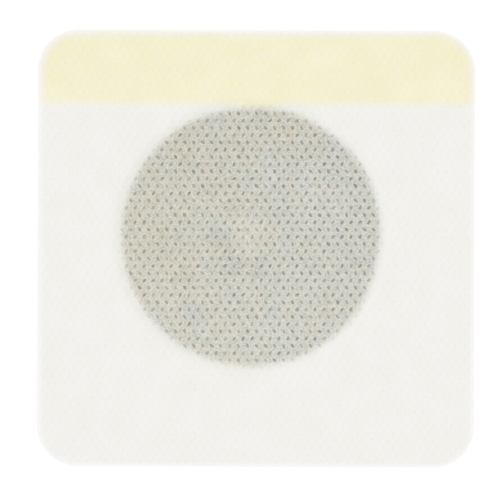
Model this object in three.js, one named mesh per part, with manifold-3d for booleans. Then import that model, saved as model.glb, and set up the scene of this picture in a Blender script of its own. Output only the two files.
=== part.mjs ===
// A square medicated skin patch, lying cloth side up on its release liner.
//
// It is a laminate of four pieces. A white nonwoven cloth carries the adhesive. A round
// medicated pad lies under the cloth, which rises over it like a low tent. A release liner
// covers the whole underside in two pieces: a white sheet, and a yellow strip along one
// edge that is peeled first. Pad and strip show through the thin cloth.
//
// Units are millimetres. +Z is up, and +Y points to the edge with the yellow strip. The
// origin is the middle of the outline, on the surface that the patch lies on.
import * as THREE from "three";
import { mergeGeometries, mergeVertices } from "three/addons/utils/BufferGeometryUtils.js";
import Module from "manifold-3d";

// Outline: cloth and liner are die-cut in one stroke
const patchWidth = 100;
const patchHeight = 100;
const cornerRadius = 9.2;
const cornerSteps = 12;

// Thickness of each layer
const linerThickness = 0.15;
const clothThickness = 0.35;
const padThickness = 0.6;

// The yellow strip, measured down from the patch's upper edge
const peelStripHeight = 17;

// The pad, and where its middle lies from the middle of the patch
const padDiameter = 60;
const padEdgeRound = 0.25;
const padOffsetX = -1.25;
const padOffsetY = 2.86;

// The cloth comes down to the liner over this width, past the pad's rim
const tentWidth = 1.8;

// Bond points: slanted pits where hot pins pressed the fibres together. Their rows stand
// half a pitch apart in turn and slant right and left in turn. The first row that slants
// right runs through one known point, measured from the middle of the patch.
const bondPitchX = 2.06;
const bondRowPitch = 1.665;
const bondOriginX = -1.015;
const bondOriginY = 2.716;
const bondLength = 1.05;
const bondWidth = 0.56;
const bondDepth = 0.2;
const bondProud = 0.1;
const bondSlantDeg = 32;
const bondWebTurnDeg = 0.25;
const bondMarginInRim = 0.15;

// Facets of the round forms, and how close two corners may be before they are one
const roundSegments = 96;
const tentSteps = 6;
const padEdgeSteps = 4;
const bondSides = 4;
const mergeDistance = 1e-4;

// Heights and radii that follow from the sizes above
const padRadius = padDiameter / 2;
const padTop = linerThickness + padThickness;
const clothUnderside = linerThickness;
const clothFlatTop = clothUnderside + clothThickness;
const clothCrownTop = padTop + clothThickness;
const stripSeamY = patchHeight / 2 - peelStripHeight;

const wasm = await Module();
wasm.setup();

// Turns a closed three.js geometry into a solid for joins and cuts.
function solidFrom(geometry) {
  const bare = geometry.index ? geometry.toNonIndexed() : geometry.clone();
  for (const name of Object.keys(bare.attributes)) {
    if (name !== "position") bare.deleteAttribute(name);
  }
  const merged = mergeVertices(bare, mergeDistance);
  const mesh = new wasm.Mesh({
    numProp: 3,
    vertProperties: merged.attributes.position.array,
    triVerts: new Uint32Array(merged.index.array),
  });
  return new wasm.Manifold(mesh);
}

// Turns a solid back into a three.js geometry with flat-shaded faces.
function geometryFrom(solid) {
  const mesh = solid.getMesh();
  const indexed = new THREE.BufferGeometry();
  indexed.setAttribute("position", new THREE.BufferAttribute(mesh.vertProperties, 3));
  indexed.setIndex(new THREE.BufferAttribute(mesh.triVerts, 1));
  const geometry = indexed.toNonIndexed();
  geometry.computeVertexNormals();
  return geometry;
}

// The die-cut outline between two heights on Y. A corner is round where the outline
// reaches the patch's own upper or lower edge, and square at the seam.
function outlineShape(lowY, highY) {
  const sideX = patchWidth / 2;
  const arcX = sideX - cornerRadius;
  const roundBelow = lowY <= -patchHeight / 2;
  const roundAbove = highY >= patchHeight / 2;
  const sideLowY = roundBelow ? lowY + cornerRadius : lowY;
  const sideHighY = roundAbove ? highY - cornerRadius : highY;
  const quarter = Math.PI / 2;
  const shape = new THREE.Shape();
  shape.moveTo(sideX, sideLowY);
  shape.lineTo(sideX, sideHighY);
  if (roundAbove) {
    shape.absarc(arcX, sideHighY, cornerRadius, 0, quarter, false);
    shape.absarc(-arcX, sideHighY, cornerRadius, quarter, 2 * quarter, false);
  } else {
    shape.lineTo(-sideX, sideHighY);
  }
  shape.lineTo(-sideX, sideLowY);
  if (roundBelow) {
    shape.absarc(-arcX, sideLowY, cornerRadius, 2 * quarter, 3 * quarter, false);
    shape.absarc(arcX, sideLowY, cornerRadius, 3 * quarter, 4 * quarter, false);
  }
  shape.closePath();
  return shape;
}

// A flat sheet of that outline, from z = bottom upwards.
function sheetGeometry(lowY, highY, bottom, thickness) {
  const geometry = new THREE.ExtrudeGeometry(outlineShape(lowY, highY), {
    depth: thickness,
    bevelEnabled: false,
    curveSegments: cornerSteps,
  });
  return geometry.translate(0, 0, bottom);
}

// Turns a profile of [radius, z] points about the pad's axis.
function turnedAboutPad(profile) {
  const points = profile.map(([radius, z]) => new THREE.Vector2(radius, z));
  const geometry = new THREE.LatheGeometry(points, roundSegments);
  return geometry.rotateX(Math.PI / 2).translate(padOffsetX, padOffsetY, 0);
}

// The cloth's fall from its crown to the flat, as [radius, z] points.
function tentFall(innerRadius, outerRadius, highZ, lowZ) {
  const points = [];
  for (let step = 0; step <= tentSteps; step++) {
    const share = step / tentSteps;
    const fall = (1 + Math.cos(Math.PI * share)) / 2;
    const radius = innerRadius + (outerRadius - innerRadius) * share;
    points.push([radius, lowZ + (highZ - lowZ) * fall]);
  }
  return points;
}

// One bond point: a pit with flat sides that narrows to its tip. The cutter goes on at the same
// slope above the cloth, so that it opens the surface cleanly.
function bondPit(place, slantsRight) {
  const height = bondDepth + bondProud;
  const halfAcross = (0.5 * height) / bondDepth;
  const pit = new THREE.ConeGeometry(halfAcross, height, bondSides, 1);
  pit.rotateX(-Math.PI / 2);
  pit.scale(bondWidth, bondLength, 1);
  const slant = THREE.MathUtils.degToRad(bondSlantDeg);
  pit.rotateZ(slantsRight ? -slant : slant);
  return pit.translate(place.x, place.y, clothCrownTop - bondDepth + height / 2);
}

// Every bond point on the crown of the cloth.
function bondPits() {
  const padMiddle = new THREE.Vector2(padOffsetX, padOffsetY);
  const origin = new THREE.Vector2(bondOriginX, bondOriginY);
  const webTurn = THREE.MathUtils.degToRad(bondWebTurnDeg);
  const reach = padRadius - bondLength / 2 - bondMarginInRim;
  const span = reach + origin.distanceTo(padMiddle);
  const rows = Math.ceil(span / bondRowPitch);
  const columns = Math.ceil(span / bondPitchX);
  const pits = [];
  for (let row = -rows; row <= rows; row++) {
    const isOdd = Math.abs(row) % 2 === 1;
    const shift = isOdd ? bondPitchX / 2 : 0;
    for (let column = -columns; column <= columns; column++) {
      const place = new THREE.Vector2(column * bondPitchX + shift, row * bondRowPitch);
      place.rotateAround(new THREE.Vector2(), webTurn).add(origin);
      if (place.distanceTo(padMiddle) <= reach) pits.push(bondPit(place, !isOdd));
    }
  }
  return mergeGeometries(pits);
}

// The cloth: a flat sheet with a raised crown, hollow below for the pad.
function backingClothGeometry() {
  const half = patchHeight / 2;
  const sheet = solidFrom(sheetGeometry(-half, half, clothUnderside, clothThickness));
  const rimOuter = padRadius + tentWidth;
  const crown = turnedAboutPad([
    [0, clothUnderside],
    [rimOuter + clothThickness, clothUnderside],
    ...tentFall(padRadius, rimOuter + clothThickness, clothCrownTop, clothFlatTop).reverse(),
    [0, clothCrownTop],
  ]);
  const hollow = turnedAboutPad([
    [0, clothUnderside - clothThickness],
    [rimOuter, clothUnderside - clothThickness],
    ...tentFall(padRadius, rimOuter, padTop, clothUnderside).reverse(),
    [0, padTop],
  ]);
  const cloth = sheet.add(solidFrom(crown)).subtract(solidFrom(hollow));
  return geometryFrom(cloth.subtract(solidFrom(bondPits())));
}

// A quarter turn of the pad's rounded edge, as [radius, z] points that climb from an angle.
function padEdge(middleZ, fromAngle) {
  const points = [];
  for (let step = 0; step <= padEdgeSteps; step++) {
    const angle = fromAngle + ((Math.PI / 2) * step) / padEdgeSteps;
    const radius = padRadius - padEdgeRound + padEdgeRound * Math.cos(angle);
    points.push([radius, middleZ + padEdgeRound * Math.sin(angle)]);
  }
  return points;
}

// The pad: a disc whose upper and lower edges are rounded.
function medicatedPadGeometry() {
  return turnedAboutPad([
    [0, linerThickness],
    ...padEdge(linerThickness + padEdgeRound, -Math.PI / 2),
    ...padEdge(padTop - padEdgeRound, 0),
    [0, padTop],
  ]);
}

function material(red, green, blue, roughness, opacity = 1) {
  return new THREE.MeshStandardMaterial({
    color: new THREE.Color().setRGB(red / 255, green / 255, blue / 255, THREE.SRGBColorSpace),
    roughness,
    metalness: 0,
    transparent: opacity < 1,
    opacity,
  });
}

const clothMaterial = material(244, 243, 239, 0.9, 0.6);
const padMaterial = material(92, 86, 70, 0.8);
const linerMaterial = material(247, 247, 244, 0.45);
const peelStripMaterial = material(246, 222, 112, 0.45);

function named(name, geometry, finish) {
  const mesh = new THREE.Mesh(geometry, finish);
  mesh.name = name;
  return mesh;
}

const patch = new THREE.Group();
patch.add(
  named("release_liner", sheetGeometry(-patchHeight / 2, stripSeamY, 0, linerThickness), linerMaterial),
  named("peel_strip", sheetGeometry(stripSeamY, patchHeight / 2, 0, linerThickness), peelStripMaterial),
  named("medicated_pad", medicatedPadGeometry(), padMaterial),
  named("backing_cloth", backingClothGeometry(), clothMaterial),
);

export default patch;
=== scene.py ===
# %% [markdown]
# # A medicated skin patch
#
# A square of thin white cloth lies flat, cloth side up. Under the cloth there is a round
# dark pad, and under both a release liner with a yellow strip along one edge. The cloth
# is so thin that pad and strip show through it.
#
# The solids come first, as a fixed frame. Every place and size below is either measured
# on them or written once as a named value. Lengths are in metres, as Blender wants them,
# except in the materials, which work in millimetres.

# %% Load the frame and measure it
import math

import bpy
import numpy as np
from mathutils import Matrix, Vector
from mathutils.geometry import delaunay_2d_cdt


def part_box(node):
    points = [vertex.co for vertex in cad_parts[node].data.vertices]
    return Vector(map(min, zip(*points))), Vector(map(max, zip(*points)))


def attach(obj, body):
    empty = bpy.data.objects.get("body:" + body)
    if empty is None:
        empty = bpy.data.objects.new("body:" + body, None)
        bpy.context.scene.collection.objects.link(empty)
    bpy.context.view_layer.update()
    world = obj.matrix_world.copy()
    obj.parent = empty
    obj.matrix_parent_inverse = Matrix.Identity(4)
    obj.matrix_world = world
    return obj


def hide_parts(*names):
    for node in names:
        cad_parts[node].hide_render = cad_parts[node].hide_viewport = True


MM = 0.001

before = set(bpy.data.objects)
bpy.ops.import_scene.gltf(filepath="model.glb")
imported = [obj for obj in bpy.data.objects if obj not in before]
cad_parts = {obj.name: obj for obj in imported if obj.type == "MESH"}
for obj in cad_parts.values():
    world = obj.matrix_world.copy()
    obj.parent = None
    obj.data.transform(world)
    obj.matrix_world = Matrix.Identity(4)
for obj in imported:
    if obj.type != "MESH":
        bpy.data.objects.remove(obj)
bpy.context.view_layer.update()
cloth_low, cloth_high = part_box("backing_cloth")
pad_low, pad_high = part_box("medicated_pad")
strip_low, strip_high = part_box("peel_strip")

half_width = (cloth_high[0] - cloth_low[0]) / 2
half_height = (cloth_high[1] - cloth_low[1]) / 2
pad_radius = (pad_high[0] - pad_low[0]) / 2
pad_middle = np.array([(pad_low[0] + pad_high[0]) / 2, (pad_low[1] + pad_high[1]) / 2])
pad_thickness = pad_high[2] - pad_low[2]
cloth_thickness = cloth_high[2] - pad_high[2]
liner_top = cloth_low[2]
cloth_flat_top = liner_top + cloth_thickness
seam_y = strip_low[1]
print("outline", round(2 * half_width / MM, 2), "by", round(2 * half_height / MM, 2), "mm")
print("pad radius", round(pad_radius / MM, 2), "mm, cloth", round(cloth_thickness / MM, 2), "mm")

# %% [markdown]
# ## The outline
#
# Cloth and liner are cut by one stroke of a die: a square with round corners. Two things
# are needed from it: points along the cut, to build the edge, and the distance of any
# point from the cut, to know where the cloth begins to be pressed by the knife. For a
# square with round corners both are a few lines of arithmetic, so no curve object is used.

# %% Points along the cut, and the distance in from it
corner_radius = 9.2 * MM
corner_count = 4


def outline_points(step, inset=0.0):
    """Points along the cut, anticlockwise, about one step apart and inset from it."""
    radius = corner_radius - inset
    arc_x = half_width - corner_radius
    arc_y = half_height - corner_radius
    middles = [(arc_x, arc_y), (-arc_x, arc_y), (-arc_x, -arc_y), (arc_x, -arc_y)]
    arc_count = math.ceil(radius * math.pi / 2 / step)
    arcs = []
    for number, middle in enumerate(middles):
        angles = math.pi / 2 * (number + np.arange(arc_count + 1) / arc_count)
        circle = np.stack([np.cos(angles), np.sin(angles)], axis=1)
        arcs.append(np.array(middle) + radius * circle)
    points = []
    for number, arc in enumerate(arcs):
        following = arcs[(number + 1) % corner_count][0]
        straight_count = math.ceil(np.linalg.norm(following - arc[-1]) / step)
        shares = np.arange(1, straight_count)[:, None] / straight_count
        points.append(arc)
        points.append(arc[-1] + (following - arc[-1]) * shares)
    return np.concatenate(points)


def distance_in(x, y):
    """How far inside the cut a point lies."""
    past_x = np.abs(x) - (half_width - corner_radius)
    past_y = np.abs(y) - (half_height - corner_radius)
    beyond = np.hypot(np.maximum(past_x, 0), np.maximum(past_y, 0))
    within = np.minimum(np.maximum(past_x, past_y), 0)
    return corner_radius - beyond - within


print("points along the cut:", len(outline_points(0.4 * MM)))

# %% [markdown]
# ## The bond points
#
# The cloth is a web of loose fibres that a hot roller has pressed together at thousands
# of small ovals. The ovals stand in rows, half a pitch apart in turn, and lean right and
# left in turn. They could be an image, a bump, or real pits. Here they are real pits in
# the mesh, and the material finds the same ovals by the same sums, so that colour and
# shape always agree.

# %% The lattice of bond points
bond_pitch = 2.06 * MM
bond_row_pitch = 1.665 * MM
bond_origin = np.array([-1.015, 2.716]) * MM
bond_half_length = 0.525 * MM
bond_half_width = 0.28 * MM
bond_slant = math.radians(32)
web_turn = math.radians(0.25)
web_across = np.array([math.cos(web_turn), math.sin(web_turn)])
web_up = np.array([-math.sin(web_turn), math.cos(web_turn)])


def bond_middles():
    """Every bond point on the patch, and which way each leans: 1 is right, -1 is left."""
    reach = math.hypot(half_width, half_height) + np.linalg.norm(bond_origin)
    row_count = math.ceil(reach / bond_row_pitch)
    column_count = math.ceil(reach / bond_pitch)
    rows, columns = np.meshgrid(
        np.arange(-row_count, row_count + 1), np.arange(-column_count, column_count + 1)
    )
    rows, columns = rows.ravel(), columns.ravel()
    odd = rows % 2
    along = (columns + odd / 2) * bond_pitch
    up = rows * bond_row_pitch
    middles = bond_origin + along[:, None] * web_across + up[:, None] * web_up
    kept = distance_in(middles[:, 0], middles[:, 1]) > -bond_half_length
    return middles[kept], (1 - 2 * odd)[kept]


def bond_reach(x, y):
    """Distance to the nearest bond point's middle, where 1 is the rim of its oval."""
    across = (x - bond_origin[0]) * web_across[0] + (y - bond_origin[1]) * web_across[1]
    up = (x - bond_origin[0]) * web_up[0] + (y - bond_origin[1]) * web_up[1]
    row = np.round(up / bond_row_pitch)
    odd = row % 2
    lean = 1 - 2 * odd
    over = up - row * bond_row_pitch
    beside = across - odd * bond_pitch / 2
    beside = beside - np.round(beside / bond_pitch) * bond_pitch
    lengthwise = beside * math.sin(bond_slant) * lean + over * math.cos(bond_slant)
    crosswise = beside * math.cos(bond_slant) - over * math.sin(bond_slant) * lean
    return np.hypot(lengthwise / bond_half_length, crosswise / bond_half_width)


middles, leans = bond_middles()
print("bond points on the patch:", len(middles))

# %% [markdown]
# ## The cloth's heights
#
# One function gives the cloth's upper surface at any point, so that the mesh can have its
# points wherever the detail is. It adds up what happens to the real cloth: it lies flat on
# the liner, rises over the pad like a low tent, is pressed flat at each bond point, puffs
# up a little between them, and is squeezed thin at the very edge by the knife.

# %% Heights of the upper and the lower side
tent_width = 1.8 * MM
bond_depth = 0.11 * MM
bond_wall = (0.5, 1.2)
puff_height = 0.03 * MM
puff_rise = (1.0, 2.4)
edge_squeeze = 0.06 * MM
edge_squeeze_width = 0.6 * MM


def smooth(low, high, value):
    """0 below low, 1 above high, and an even S between them."""
    share = np.clip((value - low) / (high - low), 0, 1)
    return share * share * (3 - 2 * share)


def pad_distance(x, y):
    return np.hypot(x - pad_middle[0], y - pad_middle[1])


def tent(radius, width):
    """How high the cloth is lifted by the pad, at a distance from the pad's middle."""
    share = np.clip((radius - pad_radius) / width, 0, 1)
    return pad_thickness * (1 + np.cos(np.pi * share)) / 2


def upper_side(x, y):
    reach = bond_reach(x, y)
    height = cloth_flat_top + tent(pad_distance(x, y), tent_width + cloth_thickness)
    height = height - bond_depth * (1 - smooth(*bond_wall, reach))
    height = height + puff_height * smooth(*puff_rise, reach)
    return height - edge_squeeze * (1 - smooth(0, edge_squeeze_width, distance_in(x, y)))


def lower_side(x, y):
    return liner_top + tent(pad_distance(x, y), tent_width)


# %% [markdown]
# ## The cloth's mesh
#
# A regular grid fine enough for the ovals would need far too many faces. Instead the
# points are put where they count: one in the middle of each oval and two rings round it, a
# loose sprinkling between the ovals, and two lines that follow the cut. A Delaunay
# triangulation joins them, and keeps to the outline because the outline goes in as its
# border. The underside is hidden, so it has only the points that its hollow for the pad
# needs.

# %% Scatter the points and join them
edge_step = 0.38 * MM
edge_insets = (0.16 * MM, 0.4 * MM)
edge_clearance = 0.1 * MM
filler_spacing = 0.46 * MM
filler_shake = 0.2
filler_from = 1.45
rings = ((0.0, 1), (0.6, 6), (1.05, 9))
join_distance = 1e-7
cloth_roughness = 0.006 * MM
cloth_random = np.random.default_rng(7)


def ring_points():
    """Points on the rings of every oval."""
    points = []
    for share, count in rings:
        angles = 2 * np.pi * np.arange(count) / count
        lengthwise = share * bond_half_length * np.cos(angles)
        crosswise = share * bond_half_width * np.sin(angles)
        for lean in (1, -1):
            x = lengthwise * math.sin(bond_slant) * lean + crosswise * math.cos(bond_slant)
            y = lengthwise * math.cos(bond_slant) - crosswise * math.sin(bond_slant) * lean
            chosen = middles[leans == lean]
            offsets = x[:, None] * web_across + y[:, None] * web_up
            points.append((chosen[:, None, :] + offsets[None, :, :]).reshape(-1, 2))
    return np.concatenate(points)


def filler_points():
    """Loosely sprinkled points between the ovals."""
    row_height = filler_spacing * math.sqrt(3) / 2
    x, y = np.meshgrid(
        np.arange(-half_width, half_width, filler_spacing),
        np.arange(-half_height, half_height, row_height),
    )
    x = x + (np.arange(len(x)) % 2)[:, None] * filler_spacing / 2
    points = np.stack([x.ravel(), y.ravel()], axis=1)
    shake = cloth_random.uniform(-filler_shake, filler_shake, points.shape)
    points = points + shake * filler_spacing
    return points[bond_reach(points[:, 0], points[:, 1]) > filler_from]


def join_points(border, inner):
    """Triangles over the border's inside, and where each border point ended up."""
    points = [Vector(point) for point in np.concatenate([border, inner])]
    loop = list(range(len(border)))
    found = delaunay_2d_cdt(points, [], [loop], 1, join_distance)
    place = np.array([tuple(point) for point in found[0]])
    triangles = np.array(found[2])
    loop_place = np.empty(len(border), dtype=int)
    for index, sources in enumerate(found[3]):
        for source in sources:
            if source < len(border):
                loop_place[source] = index
    return place, triangles, loop_place


border = outline_points(edge_step)
inner = np.concatenate([ring_points(), filler_points()])
inner = inner[distance_in(inner[:, 0], inner[:, 1]) > edge_insets[-1] + edge_clearance]
edge_lines = [outline_points(edge_step, inset) for inset in edge_insets]
top_place, top_faces, top_loop = join_points(border, np.concatenate([inner, *edge_lines]))
print("upper side:", len(top_place), "points,", len(top_faces), "triangles")

# %% Close the cloth with an underside and a cut edge
hollow_steps = 8
hollow_segments = 120


def hollow_points():
    """Rings round the pad's rim, where the underside comes down to the liner."""
    angles = 2 * np.pi * np.arange(hollow_segments) / hollow_segments
    circle = np.stack([np.cos(angles), np.sin(angles)], axis=1)
    radii = pad_radius + tent_width * np.arange(hollow_steps + 1) / hollow_steps
    return np.concatenate([pad_middle + radius * circle for radius in radii])


def make_mesh(name, vertices, faces):
    """A mesh object with smooth faces, at the origin."""
    mesh = bpy.data.meshes.new(name)
    mesh.from_pydata([tuple(v) for v in vertices], [], [tuple(f) for f in faces])
    mesh.validate()
    mesh.polygons.foreach_set("use_smooth", [True] * len(mesh.polygons))
    made = bpy.data.objects.new(name, mesh)
    bpy.context.scene.collection.objects.link(made)
    return made


def keep_edges_sharp(made, loop):
    """Breaks the smooth shading along a closed line of vertices."""
    following = dict(zip(loop.tolist(), np.roll(loop, -1).tolist()))
    for edge in made.data.edges:
        first, second = edge.vertices
        edge.use_edge_sharp |= following.get(first) == second or following.get(second) == first


under_place, under_faces, under_loop = join_points(border, hollow_points())
top_heights = upper_side(top_place[:, 0], top_place[:, 1])
top_heights = top_heights + cloth_random.normal(0, cloth_roughness, len(top_heights))
under_heights = lower_side(under_place[:, 0], under_place[:, 1])
vertices = np.concatenate(
    [
        np.column_stack([top_place, top_heights]),
        np.column_stack([under_place, under_heights]),
    ]
)
under_start = len(top_place)
walls = []
for here in range(len(border)):
    after = (here + 1) % len(border)
    under_here, under_after = under_start + under_loop[here], under_start + under_loop[after]
    walls.append((under_here, under_after, top_loop[after]))
    walls.append((under_here, top_loop[after], top_loop[here]))
faces = np.concatenate([top_faces, under_faces[:, ::-1] + under_start, np.array(walls)])
cloth = make_mesh("nonwoven_cloth", vertices, faces)
keep_edges_sharp(cloth, top_loop)
keep_edges_sharp(cloth, under_start + under_loop)
wall_normals = cloth.data.polygons[len(top_faces) + len(under_faces)].normal
print("cloth:", len(faces), "triangles, first wall face looks along", tuple(wall_normals))

# %% [markdown]
# ## Shader maths as plain expressions
#
# A material is a graph of nodes, and a long sum in it is hard to read. This small class
# wraps an output socket, so that `mask * 2 + 1` adds the Math nodes by itself. Colours
# and vectors go through Mix and Vector Math nodes, since a Math node would turn a colour
# grey. Every other node comes from one method, `node`.

# %% A socket that can be added and multiplied


class Wire:
    """The output of a node, with arithmetic that adds Math nodes."""

    def __init__(self, tree, socket=None):
        self.tree = tree
        self.socket = socket

    def node(self, kind, settings=None, inputs=None, output=0):
        """Adds a node: its settings first, then the values or links of its sockets."""
        added = self.tree.nodes.new(kind)
        for name, value in (settings or {}).items():
            setattr(added, name, value)
        for name, value in (inputs or {}).items():
            if isinstance(value, Wire):
                self.tree.links.new(value.socket, added.inputs[name])
            else:
                added.inputs[name].default_value = value
        return Wire(self.tree, added.outputs[output])

    def part(self, output):
        """Another output of the same node."""
        return Wire(self.tree, self.socket.node.outputs[output])

    def math(self, operation, *values):
        return self.node("ShaderNodeMath", {"operation": operation}, dict(enumerate(values)))

    def __add__(self, other):
        return self.math("ADD", self, other)

    def __sub__(self, other):
        return self.math("SUBTRACT", self, other)

    def __mul__(self, other):
        return self.math("MULTIPLY", self, other)

    def __truediv__(self, other):
        return self.math("DIVIDE", self, other)

    def __radd__(self, other):
        return self.math("ADD", other, self)

    def __rsub__(self, other):
        return self.math("SUBTRACT", other, self)

    def __rmul__(self, other):
        return self.math("MULTIPLY", other, self)

    def __rtruediv__(self, other):
        return self.math("DIVIDE", other, self)

    def __abs__(self):
        return self.math("ABSOLUTE", self)

    def at_least(self, low):
        return self.math("MAXIMUM", self, low)

    def at_most(self, high):
        return self.math("MINIMUM", self, high)

    def clamp(self, low=0.0, high=1.0):
        return self.at_least(low).at_most(high)

    def smooth(self, low, high):
        """0 below low, 1 above high, and an even S between them."""
        settings = {"interpolation_type": "SMOOTHSTEP"}
        return self.node(
            "ShaderNodeMapRange", settings, {"Value": self, "From Min": low, "From Max": high}
        )

    def scaled(self, *scale):
        """A vector, multiplied by one number for each axis."""
        settings = {"operation": "MULTIPLY"}
        return self.node("ShaderNodeVectorMath", settings, {0: self, 1: scale})

    def noise(self, scale, detail=0.0, seed=0.0, roughness=0.5):
        """Soft noise from 0 to 1 over this vector. Each seed gives another pattern."""
        settings = {"noise_dimensions": "4D"}
        inputs = {"Vector": self, "W": seed, "Scale": scale, "Detail": detail}
        return self.node("ShaderNodeTexNoise", settings, inputs | {"Roughness": roughness})

    def mix(self, first, second):
        """This mask mixes two colours."""
        settings = {"data_type": "RGBA"}
        inputs = {"Factor": self, 6: first, 7: second}
        return self.node("ShaderNodeMix", settings, inputs, output=2)

    def tinted(self, tint):
        """This colour, multiplied by another one."""
        settings = {"data_type": "RGBA", "blend_type": "MULTIPLY"}
        inputs = {"Factor": 1.0, 6: self, 7: tint}
        return self.node("ShaderNodeMix", settings, inputs, output=2)


def paint(red, green, blue):
    """A colour as seen on a screen, 0 to 255, turned into the linear one that Blender wants."""
    linear = []
    for value in (red, green, blue):
        share = value / 255
        linear.append(share / 12.92 if share <= 0.04045 else ((share + 0.055) / 1.055) ** 2.4)
    return (*linear, 1.0)


def new_material(name):
    """A material with one Principled shader, and a Wire to build its graph from."""
    material = bpy.data.materials.new(name)
    material.use_nodes = True
    shader = material.node_tree.nodes["Principled BSDF"]
    return material, shader, Wire(material.node_tree)


def feed(tree, wire, socket):
    tree.links.new(wire.socket, socket)


# %% [markdown]
# ## The cloth's finish
#
# White fibres scatter light, so the cloth is white where it is thick and lets the layer
# below through where it is thin. The real layers could be rendered through a translucent
# cloth, but that is slow and noisy, and it is lost when the model is used elsewhere. So
# the material works out one number, how open the web is at each spot, and each layer has
# two colours: how it looks through thick web and how it looks through open web.

# %% Where a spot lies on the patch


def place_on_patch(start):
    """The spot in millimetres, as a vector."""
    metres = start.node("ShaderNodeTexCoord", output="Object")
    return metres.scaled(1 / MM, 1 / MM, 1 / MM)


def split(place):
    """The x and the y of a spot."""
    x = place.node("ShaderNodeSeparateXYZ", inputs={"Vector": place})
    return x, x.part(1)


def length_of(x, y):
    """The length of a step of x and y."""
    square = x * x + y * y
    return square.math("SQRT", square)


def shader_distance_in(x, y):
    """How far inside the cut the spot lies, in millimetres."""
    radius = corner_radius / MM
    past_x = abs(x) - (half_width / MM - radius)
    past_y = abs(y) - (half_height / MM - radius)
    beyond = length_of(past_x.at_least(0.0), past_y.at_least(0.0))
    within = past_x.at_least(past_y).at_most(0.0)
    return radius - beyond - within


# %% The same ovals, found by the material
bond_wander = 0.2
bond_ragged = 0.5
bond_tilt = 0.5
bond_girth = 0.3
bond_flank = (0.6, 1.32)
ring_rise = (1.0, 1.6)
ring_fall = (1.6, 2.4)


def shader_bond(start, place, x, y):
    """1 on the floor of each bond point, 1 on the ring round it, and how hard it was pressed."""
    ragged = place.noise(2.2, detail=1.0, seed=5.0) - 0.5
    x = x + (place.noise(0.9, seed=3.0) - 0.5) * bond_wander
    y = y + (place.noise(0.9, seed=4.0) - 0.5) * bond_wander
    step_x, step_y = x - bond_origin[0] / MM, y - bond_origin[1] / MM
    across = step_x * float(web_across[0]) + step_y * float(web_across[1])
    up = step_x * float(web_up[0]) + step_y * float(web_up[1])
    pitch, row_pitch = bond_pitch / MM, bond_row_pitch / MM
    row = start.math("ROUND", up / row_pitch)
    odd = start.math("FLOORED_MODULO", row, 2.0)
    lean = 1 - odd * 2
    over = up - row * row_pitch
    column_place = (across - odd * (pitch / 2)) / pitch
    column = start.math("ROUND", column_place)
    beside = (column_place - column) * pitch
    name = start.node("ShaderNodeCombineXYZ", inputs={"X": row, "Y": column})
    chance = start.node("ShaderNodeTexWhiteNoise", inputs={"Vector": name}, output=1)
    pressed = start.node("ShaderNodeSeparateColor", inputs={"Color": chance})
    tilt, girth = pressed.part(1), pressed.part(2)
    slant = bond_slant + (tilt - 0.5) * bond_tilt
    sine, cosine = start.math("SINE", slant), start.math("COSINE", slant)
    lengthwise = beside * sine * lean + over * cosine
    crosswise = beside * cosine - over * sine * lean
    length, width = bond_half_length / MM, bond_half_width / MM
    reach = length_of(lengthwise / length, crosswise / (width * (1.0 + girth * bond_girth)))
    reach = reach + ragged * bond_ragged
    ring = reach.smooth(*ring_rise) * (1 - reach.smooth(*ring_fall))
    return 1 - reach.smooth(*bond_flank), ring, pressed


# %% The fibres of the web
fibre_directions = (8, 52, 97, 141)
fibre_stretch = 0.16
fibre_width = 0.05


def fibre_web(place):
    """Thin crossing fibres, as lines of a stretched noise, from 0 to about 1."""
    web = None
    for number, degrees in enumerate(fibre_directions):
        settings = {"vector_type": "POINT"}
        turn = (0.0, 0.0, math.radians(degrees))
        turned = place.node("ShaderNodeMapping", settings, {"Vector": place, "Rotation": turn})
        stretched = turned.scaled(fibre_stretch, 1.0, 1.0)
        streaks = stretched.noise(3.2, detail=1.0, seed=10.0 + number)
        line = 1 - abs(streaks - 0.5).smooth(0.0, fibre_width)
        web = line if web is None else web + line
    return web * 0.4


# %% [markdown]
# ## Pad and strip through the cloth
#
# The pad shows through as a grey disc, a little warmer on one side, with soft spots where
# the mass was spread thinner or thicker. A few of these spots are large enough to notice,
# so they are placed one by one. The rest is noise, which is never quite the same on two
# patches. The strip shows through as a pale band with a soft lower edge.

# %% The pad seen through the cloth
warm_thick, warm_open = paint(227, 223, 208), paint(149, 146, 127)
cool_thick, cool_open = paint(223, 224, 217), paint(145, 147, 143)
rose_tint, green_tint = (1.01, 0.995, 0.995, 1.0), (0.99, 1.005, 0.992, 1.0)
mean_warmth = 0.53
warmer_leftwards = 0.009
warmer_upwards = 0.002
more_open_upwards = 0.0015
warmth_spread = 1.5

# Soft spots where the mass lies thinner or thicker: x, y and radius in millimetres, how
# much warmer the spot is, and how much more open it looks
soft_spots = (
    (-1.2, 3.7, 6.5, 0.35, -0.08),
    (3.1, 3.6, 3.4, 0.45, 0.01),
    (-8.3, 1.6, 4.2, -0.05, 0.13),
    (-5.6, -3.4, 4.6, -0.2, 0.12),
    (0.3, -5.0, 4.0, -0.1, 0.1),
    (-21.5, 0.0, 9.0, 0.3, 0.05),
    (-16.5, -6.5, 5.0, 0.3, 0.05),
    (-16.3, 19.3, 4.6, 0.1, 0.07),
    (-14.8, -14.5, 5.0, -0.5, 0.08),
    (3.4, -14.0, 3.0, -0.2, 0.07),
    (22.5, -3.0, 5.0, 0.3, 0.04),
    (18.0, -15.0, 8.0, 0.25, 0.0),
    (14.0, 13.0, 10.0, -0.1, -0.06),
    (3.0, 17.0, 7.0, -0.3, -0.02),
    (7.0, 28.0, 7.0, 0.3, 0.0),
    (2.5, -18.8, 6.0, -0.3, -0.04),
)


def spot(x, y, middle_x, middle_y, radius):
    """A soft round spot, 1 in its middle."""
    return 1 - length_of(x - middle_x, y - middle_y).smooth(0.0, radius)


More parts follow.
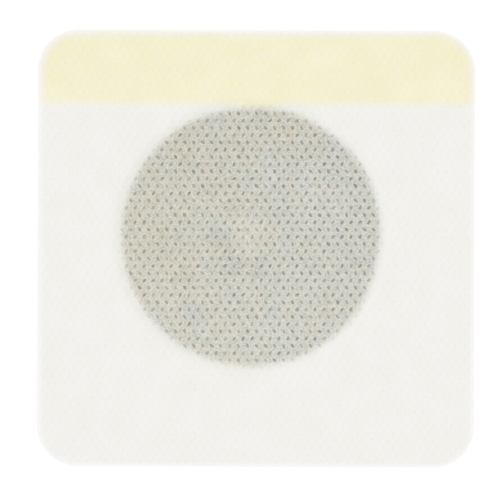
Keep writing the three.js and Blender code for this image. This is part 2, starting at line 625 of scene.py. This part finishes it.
def pad_colour(place, x, y, openness):
    """The pad through the cloth: warmer on the left, cooler on the right, blotched."""
    warmth = mean_warmth - (x + 4.0) * warmer_leftwards + (y - 3.0) * warmer_upwards
    warmth = warmth + (place.noise(0.28, detail=1.5, seed=21.0) - 0.5) * warmth_spread
    openness = openness + (y - 3.0) * more_open_upwards
    for middle_x, middle_y, radius, warmer, more_open in soft_spots:
        here = spot(x, y, middle_x, middle_y, radius)
        warmth = warmth + here * warmer
        openness = openness + here * more_open
    warmth = warmth.clamp()
    thick = warmth.mix(cool_thick, warm_thick)
    thin = warmth.mix(cool_open, warm_open)
    tint = place.noise(0.35, detail=2.0, seed=23.0).smooth(0.3, 0.7).mix(rose_tint, green_tint)
    return openness.clamp().mix(thick, thin).tinted(tint)


# %% The whole of the cloth's colour
white_thick, white_open = paint(244, 243, 239), paint(240, 239, 234)
strip_thick, strip_open = paint(248, 243, 214), paint(242, 236, 201)
pale_dye, deep_dye = (1.0, 1.0, 1.03, 1.0), (1.0, 1.0, 0.97, 1.0)
# Painted glow along the cut edge: its colour, and its width in millimetres
painted_edge_glow = paint(249, 248, 247)
painted_edge_glow_width = 1.3
mottle_strength, loft_strength, web_strength = 1.64, 0.24, 0.12
mean_open = 0.291
least_pressed, pressed_spread = 0.34, 0.32
ring_thickness = 0.06
show_radius = pad_radius / MM - 0.33
show_softness = 0.43
# A faint painted shadow ring just outside the pad's rim: how far it reaches in millimetres, and
# how dark it is
painted_shadow_reach = 3.6
painted_shadow_strength = 0.045
strip_fade = (seam_y / MM - 1.1, seam_y / MM + 1.8)

# Where the pad's rim runs a little inside (above 0) or outside a true circle: x, y and
# radius of the stretch in millimetres, and how far the rim moves there
rim_stretches = (
    (-5.5, 32.0, 13.0, 0.4),
    (27.0, -4.5, 12.0, 0.4),
    (23.0, 19.0, 12.0, -0.3),
)


def cloth_colour(start, place, x, y, bond, ring, pressed, web):
    """The colour of the cloth's upper side, with a painted shadow ring round the pad and a
    painted glow along the cut edge.
    """
    mottle = place.noise(3.6, detail=1.5, seed=31.0, roughness=0.7) - 0.5
    loft = place.noise(0.8, detail=1.0, seed=32.0) - 0.5
    ground = mean_open - mottle * mottle_strength * (1 - bond * 0.5)
    ground = ground - loft * loft_strength - (web - 0.3) * web_strength
    edge = shader_distance_in(x, y)

    rim_wander = (place.noise(0.6, detail=2.0, seed=41.0) - 0.5) * 0.7
    for middle_x, middle_y, radius, inward in rim_stretches:
        rim_wander = rim_wander + spot(x, y, middle_x, middle_y, radius) * inward
    from_pad = length_of(x - float(pad_middle[0] / MM), y - float(pad_middle[1] / MM))
    fall = start.math("EXPONENT", (from_pad + rim_wander - show_radius) / show_softness)
    rim_fade = (from_pad + rim_wander).smooth(show_radius - 0.6, show_radius + 0.8)
    evenness = (0.97 + x * 0.006).clamp(0.84, 1.0) - spot(x, y, 0.0, 4.0, 8.0) * 0.22
    depth = (least_pressed + pressed * pressed_spread) * evenness * (1 - rim_fade * 0.35)
    openness = ground + bond * depth - ring * ring_thickness
    # Painted shadow: a faint darker ring just outside the pad's rim, the soft tail of the pad's
    # shadow, added to the show-through
    shade = 1 - from_pad.smooth(show_radius, show_radius + painted_shadow_reach)
    pad_show_and_shadow = (1 / (1 + fall) + shade * painted_shadow_strength).clamp()

    quiet_open = 0.32 + ground * 0.3 - bond * 0.35
    quiet_open = (quiet_open + (place.noise(0.2, seed=33.0) - 0.5) * 0.8).clamp()
    white = quiet_open.mix(white_thick, white_open)
    # Painted glow: the cloth turns lighter over its last 1.3 mm to the cut, standing in for the
    # light at the edge and offsetting the shade of the squeezed edge
    white = edge.smooth(0.0, painted_edge_glow_width).mix(painted_edge_glow, white)
    dye = place.noise(0.55, detail=2.0, seed=34.0).smooth(0.3, 0.7)
    strip = quiet_open.mix(strip_thick, strip_open).tinted(dye.mix(pale_dye, deep_dye))
    lifted = y + spot(x, y, -0.5, 33.0, 9.0)
    over_strip = lifted.smooth(*strip_fade) * edge.smooth(-0.5, 2.2)
    colour = over_strip.mix(white, strip)
    return pad_show_and_shadow.mix(colour, pad_colour(place, x, y, openness))


def cloth_material():
    """White bonded web that shows the pad and the yellow strip below it."""
    material, shader, start = new_material("bonded_web")
    place = place_on_patch(start)
    x, y = split(place)
    bond, ring, pressed = shader_bond(start, place, x, y)
    web = fibre_web(place)
    colour = cloth_colour(start, place, x, y, bond, ring, pressed, web)
    feed(start.tree, colour, shader.inputs["Base Color"])
    feed(start.tree, 0.92 - bond * 0.25, shader.inputs["Roughness"])
    heights = web * 0.6 + place.noise(4.0, detail=2.0, seed=51.0)
    bump_inputs = {"Height": heights, "Strength": 0.3, "Distance": 0.03 * MM}
    bump = start.node("ShaderNodeBump", inputs=bump_inputs)
    feed(start.tree, bump, shader.inputs["Normal"])
    shader.inputs["Specular IOR Level"].default_value = 0.3
    return material


cloth.data.materials.append(cloth_material())
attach(cloth, "root")
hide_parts("backing_cloth")

# %% [markdown]
# ## The medicated pad
#
# The pad is a soft dark mass, spread as a disc. It is hidden, but the patch is a laminate
# and someone may look at its layers. A lathe would make a disc that is too perfect for a
# spread mass, so it is built from rings whose edge wanders a little and whose upper side
# has shallow dimples. It never rises above its solid, because the cloth lies on it.

# %% Build the pad from rings
pad_edge_round = 0.25 * MM
pad_edge_points = 6
pad_segments = 144
pad_ring_count = 36
pad_clearance = 0.01 * MM
pad_edge_wander = 0.12 * MM
dimple_depth = 0.03 * MM
pad_middle_sink = 0.04 * MM


def pad_profile():
    """The pad's section, from the middle of the underside round to the middle of the top."""
    flat = pad_radius - pad_edge_round
    low, high = pad_low[2], pad_high[2] - pad_clearance
    points = []
    for angle in np.radians(np.linspace(0, 90, pad_edge_points)):
        rise = pad_edge_round * (1 - math.cos(angle))
        points.append((flat + pad_edge_round * math.sin(angle), low + rise))
    for angle in np.radians(np.linspace(0, 90, pad_edge_points)):
        fall = pad_edge_round * (1 - math.sin(angle))
        points.append((flat + pad_edge_round * math.cos(angle), high - fall))
    for number in range(1, pad_ring_count):
        points.append((flat * (1 - number / pad_ring_count), high))
    return np.array(points)


def build_pad():
    """A closed disc with a wandering edge and shallow dimples on its upper side."""
    profile = pad_profile()
    angles = 2 * np.pi * np.arange(pad_segments) / pad_segments
    waves = np.random.default_rng(11).uniform(0, 2 * np.pi, 5)
    wander = sum(np.cos((n + 3) * angles + phase) / (n + 3) for n, phase in enumerate(waves))
    vertices = []
    for radius, height in profile:
        inward = pad_edge_wander * (wander - wander.min()) * (radius / pad_radius) ** 4
        reach = radius - inward
        x = pad_middle[0] + reach * np.cos(angles)
        y = pad_middle[1] + reach * np.sin(angles)
        dimple = np.sin(x / (1.9 * MM)) * np.sin(y / (2.3 * MM) + x / (3.1 * MM))
        on_top = height > pad_high[2] - 2 * pad_clearance
        sink = dimple_depth * (1 + dimple) if on_top else 0 * dimple
        vertices.append(np.column_stack([x, y, height - sink]))
    ring_total = len(vertices)
    bottom_middle = [[*pad_middle, pad_low[2]]]
    top_middle = [[*pad_middle, pad_high[2] - pad_middle_sink]]
    vertices = np.concatenate([*vertices, bottom_middle, top_middle])
    faces = []
    for segment in range(pad_segments):
        after = (segment + 1) % pad_segments
        for ring in range(ring_total - 1):
            here = ring * pad_segments
            above = here + pad_segments
            faces.append((here + segment, here + after, above + after, above + segment))
        last = (ring_total - 1) * pad_segments
        faces.append((after, segment, ring_total * pad_segments))
        faces.append((last + segment, last + after, ring_total * pad_segments + 1))
    return make_mesh("spread_pad", vertices, faces)


def pad_material():
    """Dark olive mass with pressed specks and a slight gloss."""
    material, shader, start = new_material("medicated_mass")
    place = place_on_patch(start)
    cloud = place.noise(0.35, detail=4.0, seed=61.0)
    speck = place.noise(3.5, detail=1.0, seed=62.0).smooth(0.62, 0.72)
    body = cloud.smooth(0.3, 0.7).mix(paint(82, 76, 60), paint(104, 97, 78))
    feed(start.tree, speck.mix(body, paint(58, 52, 40)), shader.inputs["Base Color"])
    feed(start.tree, 0.55 + cloud * 0.3, shader.inputs["Roughness"])
    inputs = {"Height": cloud + speck * 0.5, "Strength": 0.5, "Distance": 0.05 * MM}
    feed(start.tree, start.node("ShaderNodeBump", inputs=inputs), shader.inputs["Normal"])
    return material


pad = build_pad()
pad.data.materials.append(pad_material())
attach(pad, "root")
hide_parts("medicated_pad")
print("pad:", len(pad.data.polygons), "faces")

# %% [markdown]
# ## The release liner
#
# Silicone-coated paper in two pieces: a white sheet, and a yellow strip that is peeled
# first. Their solids already have the right shape, so they stay and get only a finish:
# a smooth coat over paper whose pulp shows as faint clouds, with the coat's tiny ripple.

# %% Coated paper, white and yellow


def coated_paper(name, dense, sparse):
    """Paper under a silicone coat, in two near shades."""
    material, shader, start = new_material(name)
    place = place_on_patch(start)
    clouds = place.noise(0.45, detail=5.0, seed=71.0, roughness=0.6)
    pulp = fibre_web(place)
    shade = (clouds.smooth(0.35, 0.65) * 0.7 + pulp * 0.3).clamp()
    feed(start.tree, shade.mix(dense, sparse), shader.inputs["Base Color"])
    feed(start.tree, 0.34 + clouds * 0.16, shader.inputs["Roughness"])
    inputs = {"Height": clouds + pulp * 0.2, "Strength": 0.2, "Distance": 0.02 * MM}
    feed(start.tree, start.node("ShaderNodeBump", inputs=inputs), shader.inputs["Normal"])
    shader.inputs["Coat Roughness"].default_value = 0.2
    return material


def refinish(node_name, material):
    """Gives a solid of the frame another material."""
    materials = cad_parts[node_name].data.materials
    materials.clear()
    materials.append(material)


refinish("release_liner", coated_paper("white_liner", paint(248, 248, 245), paint(240, 240, 236)))
refinish("peel_strip", coated_paper("yellow_liner", paint(252, 232, 104), paint(246, 222, 84)))
print("finished:", ", ".join(("release_liner", "peel_strip")))

# %% [markdown]
# ## Floor, light and camera
#
# The photograph is bright and almost without shadows, as on a white table under a large
# soft light. A white world lights everything evenly, and one broad lamp from the right
# adds just enough direction to show the cloth's relief. Together they come to 1, so
# that a colour renders about as it is written. The floor is pale and is lifted to white
# for the camera alone, and keeps the soft shadow at the patch's edge.

# %% White floor
floor_size = 3.0
floor_drop = 0.02 * MM
floor_lift = 0.2


def seen_directly(start):
    """1 for rays from the camera, and for those that a glossy or clear surface sends on."""
    camera = start.node("ShaderNodeLightPath", output="Is Camera Ray")
    glossy = start.node("ShaderNodeLightPath", output="Is Glossy Ray")
    clear = start.node("ShaderNodeLightPath", output="Is Transmission Ray")
    return (camera + glossy + clear).clamp()


def floor_material():
    material, shader, start = new_material("white_table")
    shader.inputs["Base Color"].default_value = paint(236, 236, 236)
    shader.inputs["Roughness"].default_value = 0.9
    shader.inputs["Specular IOR Level"].default_value = 0.0
    shader.inputs["Emission Strength"].default_value = 1.0
    glow = seen_directly(start).mix((0.0, 0.0, 0.0, 1.0), (floor_lift,) * 3 + (1.0,))
    feed(start.tree, glow, shader.inputs["Emission Color"])
    return material


bpy.ops.mesh.primitive_plane_add(size=floor_size, location=(0, 0, -floor_drop))
floor = bpy.context.object
floor.name = "white_table"
floor.data.materials.append(floor_material())

# %% Even white world and one broad lamp
world_level = 0.93
lamp_level = 0.07
lamp_spread = 35
lamp_tilt = (38, 72)

world = bpy.data.worlds.new("white_room")
bpy.context.scene.world = world
world.use_nodes = True
world_start = Wire(world.node_tree)
backdrop = world.node_tree.nodes["Background"]
backdrop.inputs["Color"].default_value = (1.0, 1.0, 1.0, 1.0)
direct = seen_directly(world_start)
feed(world.node_tree, direct + (1 - direct) * world_level, backdrop.inputs["Strength"])

lamp_data = bpy.data.lights.new("broad_lamp", "SUN")
lamp_data.energy = lamp_level * math.pi / math.cos(math.radians(lamp_tilt[0]))
lamp_data.angle = math.radians(lamp_spread)
lamp = bpy.data.objects.new("broad_lamp", lamp_data)
lamp.rotation_euler = (math.radians(lamp_tilt[0]), 0, math.radians(lamp_tilt[1]))
bpy.context.scene.collection.objects.link(lamp)
print("light on a level surface:", round(world_level + lamp_level, 2))

# %% Camera straight above
view_width = 114.7 * MM
view_middle = (-1.479 * MM, -0.291 * MM)
view_turn = web_turn
lens_length = 135

camera_data = bpy.data.cameras.new("overhead")
camera_data.lens = lens_length
camera_data.clip_start = 10 * MM
view_distance = view_width * camera_data.lens / camera_data.sensor_width
camera = bpy.data.objects.new("overhead", camera_data)
camera.location = (*view_middle, cloth_flat_top + view_distance)
camera.rotation_euler = (0, 0, view_turn)
bpy.context.scene.collection.objects.link(camera)
bpy.context.scene.camera = camera
bpy.context.scene.view_settings.view_transform = "Standard"
print("camera", round(view_distance, 3), "m above the cloth")
